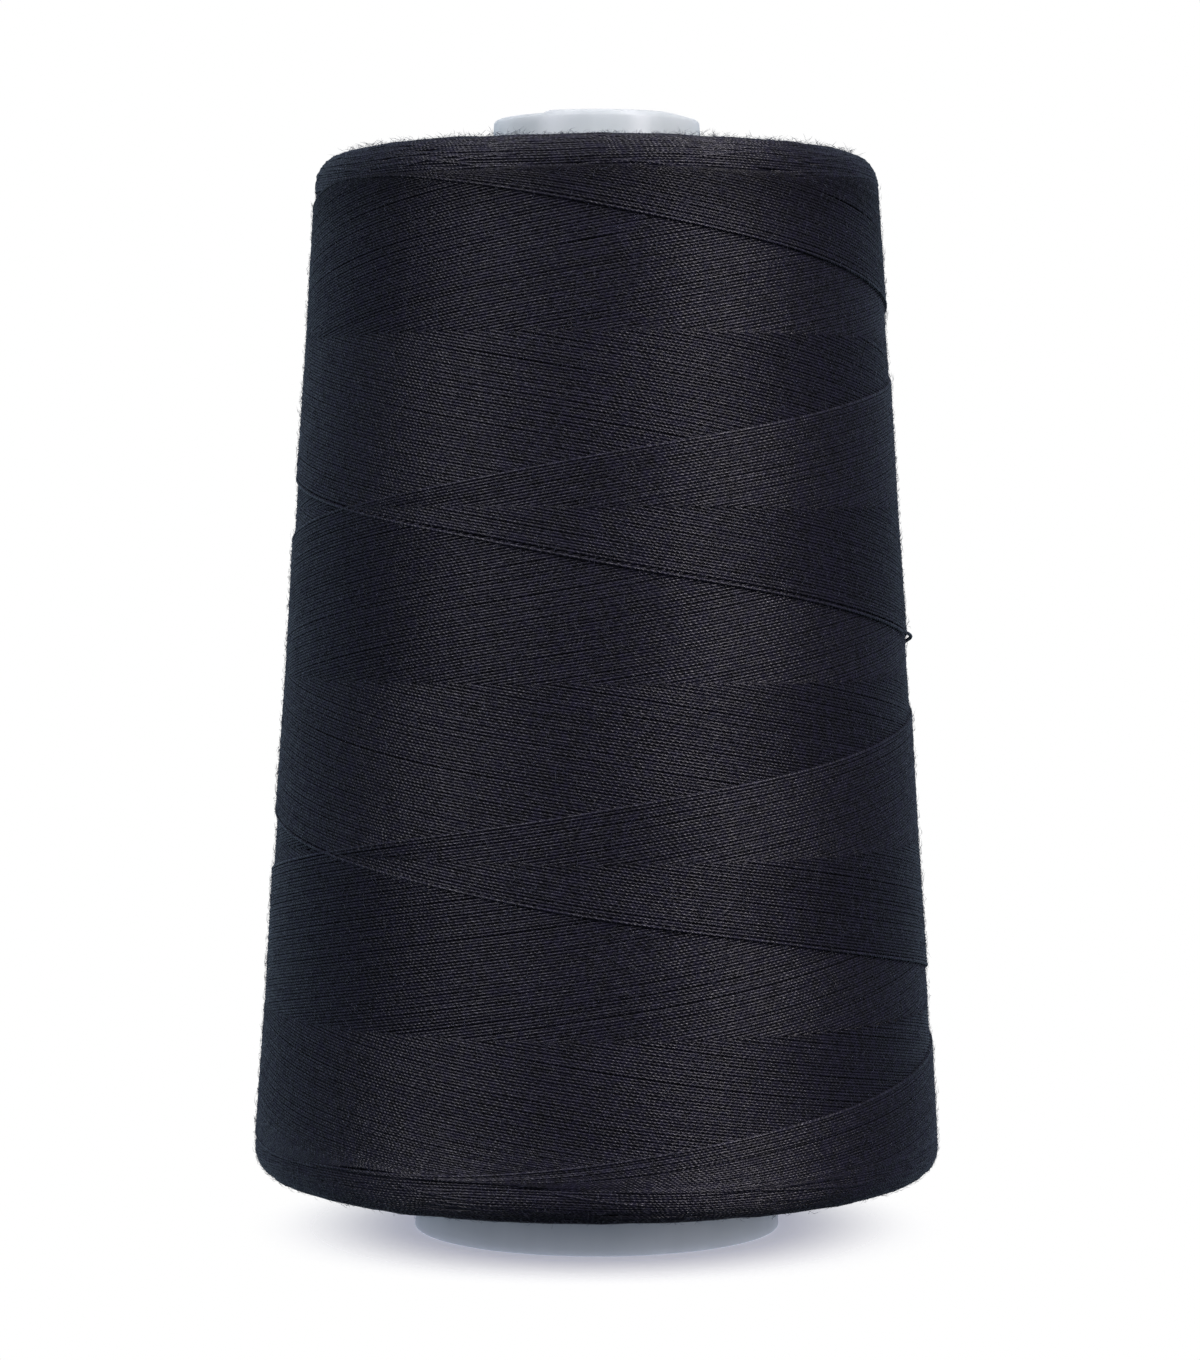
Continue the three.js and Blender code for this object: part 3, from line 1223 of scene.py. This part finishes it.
@dataclass
class FibreBatch:
    """Gathers loose fibre ends into one mesh, each closed, pointed and bent in the middle."""

    name: str
    skew: float = 0.31  # turns a helping direction well away from the fibre's own
    points: list[Array] = field(default_factory=list)

    def add(self, root: Array, bend: Array, tip: Array, radius: Array) -> None:
        """Adds many fibre ends.

        Args:
            root: Where each starts, one row for each, in millimetres.
            bend: Its middle.
            tip: Its free end.
            radius: How thick it is in the middle, as one column.
        """
        along = unit(tip - root)
        side = unit(np.cross(along, np.roll(along, 1, axis=1) + self.skew))
        other = np.cross(along, side)
        ring = [bend + radius * (math.cos(way) * side + math.sin(way) * other)
                for way in (0.0, TURN / 3, TURN * 2 / 3)]
        self.points.append(np.stack([root, *ring, tip], axis=1).reshape(-1, 3))

    def mesh(self) -> Mesh:
        """Joins what was added.

        Returns:
            The mesh, in metres.
        """
        points = np.concatenate(self.points)
        faces = np.array([(0, 2, 1), (0, 3, 2), (0, 1, 3), (4, 1, 2), (4, 2, 3), (4, 3, 1)])
        corners = (np.arange(len(points) // 5)[:, None, None] * 5 + faces).reshape(-1, 3)
        mesh = joined_mesh(self.name, points, corners.ravel(), np.full(len(corners), 3))
        mesh.validate()
        return mesh


@dataclass
class Lint:
    """Loose fibre ends that stand off the thread. Some grow in tufts."""

    form: PackageForm
    lay: Lay
    rng: np.random.Generator
    fibre_radius: float = 0.023
    thickness: Pair = (0.6, 1.3)  # thinnest and thickest, as shares of it
    crest: float = 0.04  # how far the strands' crests stand off the form
    root_depth: float = 0.07  # how far under the crests a fibre starts
    bend_out: float = 0.45  # how far its middle has gone sideways, as a share of the way
    bend_up: float = 0.55  # how far up
    curl: float = 0.20  # spread of what moves its middle aside
    curl_share: float = 0.4  # how much of that counts
    loose_share: float = 0.9  # of the fibre ends, which grow alone
    loose_length: Pair = (0.4, 1.6)  # shortest and longest, as shares of the mean
    loose_stand: Pair = (0.05, 1.6)  # flattest and steepest
    tuft: int = 5  # fibre ends in a tuft
    tuft_spread: float = 0.10  # how far apart they grow
    tuft_length: Pair = (0.5, 1.3)
    tuft_stand: Pair = (0.8, 3.0)

    def grow(self, batch: FibreBatch, angle: Array, climb: Array, length: Array,
             stand: Array) -> None:
        """Adds many fibre ends.

        Args:
            batch: What they are added to.
            angle: Where each grows, in radians.
            climb: Where it grows along the form.
            length: Its length.
            stand: How steeply it stands off, as a share of its length.
        """
        on_side = (climb > self.form.low.z) & (climb < self.form.high.z)
        age = self.lay.visible_age(angle / TURN, climb)
        rise = np.where(on_side, self.lay.rise(age), 0.0) + self.crest
        root = self.form.points(angle, climb, rise - self.root_depth)
        crest = self.form.points(angle, climb, rise)
        outward = self.form.points(angle, climb, rise + 1.0) - crest
        across = unit(np.cross(outward, self.rng.normal(0, 1, outward.shape)))
        curl = self.rng.normal(0, self.curl, outward.shape)
        size, steep = length[:, None], stand[:, None]
        bend = crest + size * (self.bend_out * across + self.bend_up * steep * outward
                               + self.curl_share * curl)
        tip = crest + size * (across + steep * outward)
        batch.add(root, bend, tip, self.fibre_radius * self.rng.uniform(*self.thickness, (len(angle), 1)))

    def build(self, name: str, count: int, climbs: Pair, mean_length: float,
              stand: float, material: Material) -> Object:
        """Makes the fibre ends of one zone.

        Args:
            name: The piece's name.
            count: How many there are.
            climbs: The zone's lowest and highest climb.
            mean_length: Their mean length.
            stand: How steeply most of them stand off.
            material: The fibre.

        Returns:
            The finished piece.
        """
        batch = FibreBatch(name)
        draw = self.rng.uniform
        loose = int(count * self.loose_share)
        self.grow(batch, draw(0, TURN, loose), draw(*climbs, loose),
                  mean_length * draw(*self.loose_length, loose), stand * draw(*self.loose_stand, loose))
        tufts = (count - loose) // self.tuft
        angle = np.repeat(draw(0, TURN, tufts), self.tuft)
        climb = np.repeat(draw(*climbs, tufts), self.tuft)
        many = len(angle)
        angle = angle + self.rng.normal(0, self.tuft_spread / self.form.high.radius, many)
        climb = climb + self.rng.normal(0, self.tuft_spread, many)
        self.grow(batch, angle, climb, mean_length * draw(*self.tuft_length, many),
                  stand * draw(*self.tuft_stand, many))
        return shown(batch.mesh(), material)


# ---- The studio ----


@dataclass(frozen=True)
class SoftBox:
    """A soft rectangular lamp on a stand, turned to the middle of the cone."""

    name: str
    azimuth: float  # degrees to the right of the front
    distance: float  # metres, as for the rest of the studio
    height: float
    width: float
    tall: float
    watts: float
    colour: Triple = (1.0, 1.0, 1.0)

    def build(self, target: Vector) -> None:
        """Puts the lamp in the scene.

        Args:
            target: What it points at.
        """
        data = bpy.data.lights.new(self.name, "AREA")
        data.shape = "RECTANGLE"
        data.size, data.size_y = self.width, self.tall
        data.energy, data.color = self.watts, self.colour
        lamp = placed(data)
        turn = math.radians(self.azimuth)
        lamp.location = (self.distance * math.sin(turn), -self.distance * math.cos(turn), self.height)
        lamp.rotation_euler = (target - lamp.location).to_track_quat("-Z", "Y").to_euler()


@dataclass(frozen=True)
class Studio:
    """A pale floor that runs out into a white surround, soft lamps and the camera."""

    floor_radius: float = 0.048
    floor_facets: int = 96
    front_surround: float = 0.06  # light from the dim room behind the camera
    back_surround: float = 0.52  # light from the white wall behind the cone
    surround: Colour = (0.57, 0.77, 1.0, 1.0)
    brightest: Triple = (-0.22, 0.98, 0.0)  # where the wall is brightest
    full_light: float = 0.9  # how nearly a direction has to be that one to be as bright
    camera_distance: float = 0.510
    camera_height: float = 0.0918
    camera_across: float = 0.00043
    camera_pitch: float = 0.039  # radians below level
    camera_clip: Pair = (0.01, 20.0)
    focal_pixels: float = 3878.0
    picture_height: float = 1360.0
    sensor: float = 36.0
    lamps: tuple[SoftBox, ...] = (
        SoftBox("right_softbox", 51, 0.75, 0.57, 0.15, 1.1, 8.8, (1.0, 0.935, 0.985)),
        SoftBox("left_softbox", -51, 0.75, 0.57, 0.30, 1.1, 6.0, (0.95, 0.915, 1.0)),
        SoftBox("overhead_softbox", 0, 0.02, 1.1, 0.8, 0.8, 2.7),
    )

    def floor(self, finish: WhitePaper) -> Object:
        """Makes the floor.

        Args:
            finish: The paper.

        Returns:
            The floor, a flat disc.
        """
        disc = bmesh.new()
        bmesh.ops.create_circle(disc, cap_ends=True, radius=self.floor_radius, segments=self.floor_facets)
        return shown(smooth_mesh("floor", disc), finish.material())

    def surround_light(self) -> None:
        """Makes the surround, white to the camera and dimmer as a light."""
        world = bpy.data.worlds.new("white_surround")
        world.use_nodes = True
        tree = world.node_tree
        tree.nodes.clear()
        add = partial(node, tree)
        way = add("TexCoord").outputs["Generated"]
        behind = add("VectorMath", way, self.brightest, operation="DOT_PRODUCT")
        level = add("MapRange", behind.outputs["Value"], 0.0, self.full_light, self.front_surround,
                    self.back_surround, interpolation_type="SMOOTHSTEP")
        dim = add("Background", self.surround, level)
        white = add("Background", (1.0, 1.0, 1.0, 1.0), 1.0)
        seen = add("LightPath").outputs["Is Camera Ray"]
        add("OutputWorld", add("MixShader", seen, dim, white))
        bpy.context.scene.world = world

    def camera(self) -> None:
        """Makes the camera."""
        data = bpy.data.cameras.new("camera")
        data.sensor_width = self.sensor
        data.lens = self.focal_pixels * self.sensor / self.picture_height
        data.clip_start, data.clip_end = self.camera_clip
        camera = placed(data)
        camera.location = (self.camera_across, -self.camera_distance, self.camera_height)
        camera.rotation_euler = (math.pi / 2 - self.camera_pitch, 0, 0)
        bpy.context.scene.camera = camera

    def build(self, middle: Vector) -> Object:
        """Makes the whole studio.

        Args:
            middle: The middle of the cone.

        Returns:
            The floor.
        """
        self.camera()
        self.surround_light()
        for lamp in self.lamps:
            lamp.build(middle)
        view = bpy.context.scene.view_settings
        view.view_transform = "Standard"
        view.look = "None"
        return self.floor(WhitePaper())


def on_the_cone(piece: Object, slot: str, *stands_for: str) -> None:
    """Hands a piece to the frame and reports it.

    Args:
        piece: The piece.
        slot: The record's material slot; not used.
        *stands_for: The solids that it stands for.
    """
    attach(piece, BODY)
    if stands_for:
        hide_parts(*stands_for)
    triangles = sum(len(face.vertices) - 2 for face in piece.data.polygons)
    LOG.info("%s: %d triangles", piece.name, triangles)


def main() -> None:
    """Builds the cone round its frame, then the studio."""
    logging.basicConfig(level=logging.INFO, format="%(name)s: %(message)s")
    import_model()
    solid_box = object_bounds()
    rng = np.random.default_rng(SEED)
    core = CoreForm()
    form = PackageForm(core)
    lay = Lay()
    floor = Studio().build((solid_box[0] + solid_box[1]) / 2)

    on_the_cone(PlasticCore(core).build(MilkyPlastic()), "core_plastic", "cone_core")
    on_the_cone(PackedTurns(form, lay).build(PackedThread()), "thread", "thread_winding")
    thread = SpunThread().material()
    side = SideTurns(form, lay, TurnBack(), rng)
    halves = {"lower": range(lay.outer_levels), "upper": range(lay.outer_levels, 2 * lay.outer_levels)}
    for family in Family:
        for part, bands in halves.items():
            name = f"{family.value}_turns_{part}"
            on_the_cone(side.build(family, bands, name, thread), "thread")
    ends = EndTurns(form, rng)
    for end in End:
        on_the_cone(ends.build(end, f"{end.value}_end_turns", thread), "thread")
    lint, fibre = Lint(form, lay, rng), FibreEnd().material()
    # Zone, how many, from which climb to which, their mean length and how steeply they stand off
    for name, count, climbs, length, stand in (
            ("low_lint", 28000, (form.low.z - 5, form.middle), 1.2, 0.13),
            ("high_lint", 25000, (form.middle, form.high.z), 1.2, 0.13),
            ("shoulder_lint", 7500, (form.high.z + 5, form.high.z + 12), 1.0, 0.38)):
        on_the_cone(lint.build(name, count, climbs, length, stand, fibre), "thread")


if __name__ == "__main__":
    main()
